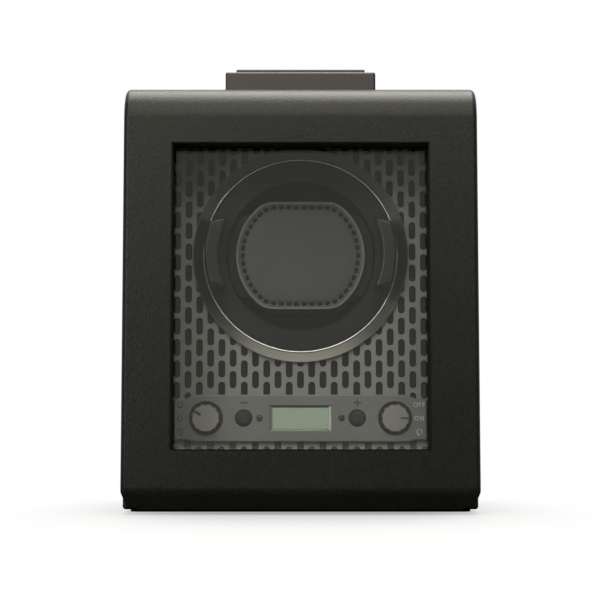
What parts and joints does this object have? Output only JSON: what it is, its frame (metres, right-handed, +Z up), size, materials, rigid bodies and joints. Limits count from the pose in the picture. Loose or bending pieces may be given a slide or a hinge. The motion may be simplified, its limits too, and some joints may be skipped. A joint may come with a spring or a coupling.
{
  "type": "watch winder box",
  "caption": "Leather covered watch winder box with a glazed drop front, a motor driven drum that holds a watch cuff, a perforated face, a control strip and a lift latch on top.",
  "frame": {"origin": "middle of the bounding box on the table plane", "axes": "+X to the right seen from the front, +Y to the back, +Z up"},
  "size_m": [0.176, 0.184, 0.2206],
  "materials": {
    "case_leather": "fine grain, satin",
    "black_plastic": "matte",
    "rubber": "matte",
    "board": "raw fibre board",
    "gunmetal": "satin dark metal",
    "bracket_metal": "satin",
    "steel": "plain",
    "brass": "plain",
    "face_metal": "satin grey bronze",
    "glass": "clear",
    "panel_grey": "satin",
    "lcd": "reflective display window",
    "lamp": "smoked",
    "circuit_board": "solder mask",
    "knob_metal": "satin anodised",
    "button_rubber": "satin",
    "cuff_leather": "fine grain",
    "cuff_foam": "soft cover"
  },
  "bodies": {
    "case": {"base_plinth": "case_leather", "hinge_screws": "steel", "front_foot_strip": "rubber", "rear_foot_strip": "rubber", "case_shell": "case_leather", "floor_board_panel": "board", "latch_screws": "steel", "back_panel": "case_leather", "board_screws": "steel", "dc_jack": "black_plastic", "case_battens": "board", "hinge_bracket_left": "bracket_metal", "hinge_bracket_right": "bracket_metal", "hinge_pins": "steel", "latch_housing": "gunmetal", "latch_spring": "steel", "face_plate": "face_metal", "face_backing": "black_plastic", "drum_bezel": "gunmetal", "module_plate": "bracket_metal", "module_standoffs": "bracket_metal", "drum_bush": "brass", "gear_motor": "steel", "motor_screws": "steel", "drive_belt": "rubber", "control_panel": "panel_grey", "lcd_window": "lcd", "indicator_lamps": "lamp", "control_board": "circuit_board", "rotary_switches": "black_plastic", "push_switches": "black_plastic"},
    "door": {"door_panel": "case_leather", "window_liner": "black_plastic", "glass_gasket": "rubber", "door_glass": "glass", "glass_retainer": "black_plastic", "door_strike": "gunmetal", "pivot_bushes": "brass", "door_bumpers": "rubber"},
    "latch": {"latch_bolt": "gunmetal", "latch_plate": "gunmetal", "latch_post": "gunmetal"},
    "drum": {"drum_cup": "black_plastic", "drum_grip_left": "black_plastic", "drum_grip_right": "black_plastic", "drum_shaft": "steel", "drum_pulley": "black_plastic", "shaft_clip": "steel", "grip_screws": "steel"},
    "motor_rotor": {"motor_pulley": "black_plastic", "motor_rotor_shaft": "steel"},
    "cuff": {"cuff_front_pad": "cuff_leather", "cuff_core": "cuff_foam"},
    "cuff_rear": {"cuff_rear_pad": "cuff_leather"},
    "left_knob": {"knob_left": "knob_metal"},
    "right_knob": {"knob_right": "knob_metal"},
    "minus_button": {"button_minus": "button_rubber"},
    "plus_button": {"button_plus": "button_rubber"}
  },
  "joints": [
    {"name": "door_hinge", "type": "hinge", "parent": "case", "child": "door", "pos_m": [0, -0.079, 0.0126], "axis": [1, 0, 0], "range_deg": [0, 90]},
    {"name": "latch_lift", "type": "slide", "parent": "case", "child": "latch", "axis": [0, 0, 1], "range_m": [0, 0.003], "stiffness_N_per_m": 400, "deforming": ["latch_spring"]},
    {"name": "drum_spin", "type": "hinge", "parent": "case", "child": "drum", "pos_m": [0, 0, 0.1296], "axis": [0, 1, 0], "continuous": true},
    {"name": "motor_spin", "type": "hinge", "parent": "case", "child": "motor_rotor", "pos_m": [0, 0, 0.0546], "axis": [0, 1, 0], "continuous": true},
    {"name": "cuff_pull", "type": "slide", "parent": "drum", "child": "cuff", "axis": [0, -1, 0], "range_m": [0, 0.015]},
    {"name": "cuff_squeeze", "type": "slide", "parent": "cuff", "child": "cuff_rear", "axis": [0, -1, 0], "range_m": [0, 0.006], "stiffness_N_per_m": 600, "deforming": ["cuff_core"]},
    {"name": "left_knob_turn", "type": "hinge", "parent": "case", "child": "left_knob", "pos_m": [-0.0479, -0.049, 0.0463], "axis": [0, -1, 0], "range_deg": [0, 60]},
    {"name": "right_knob_turn", "type": "hinge", "parent": "case", "child": "right_knob", "pos_m": [0.0479, -0.049, 0.0463], "axis": [0, -1, 0], "range_deg": [-30, 30]},
    {"name": "minus_button_press", "type": "slide", "parent": "case", "child": "minus_button", "axis": [0, 1, 0], "range_m": [0, 0.001], "stiffness_N_per_m": 300},
    {"name": "plus_button_press", "type": "slide", "parent": "case", "child": "plus_button", "axis": [0, 1, 0], "range_m": [0, 0.001], "stiffness_N_per_m": 300}
  ],
  "couplings": [
    {"joint": "motor_spin", "follows": "drum_spin", "ratio": 3.5}
  ]
}
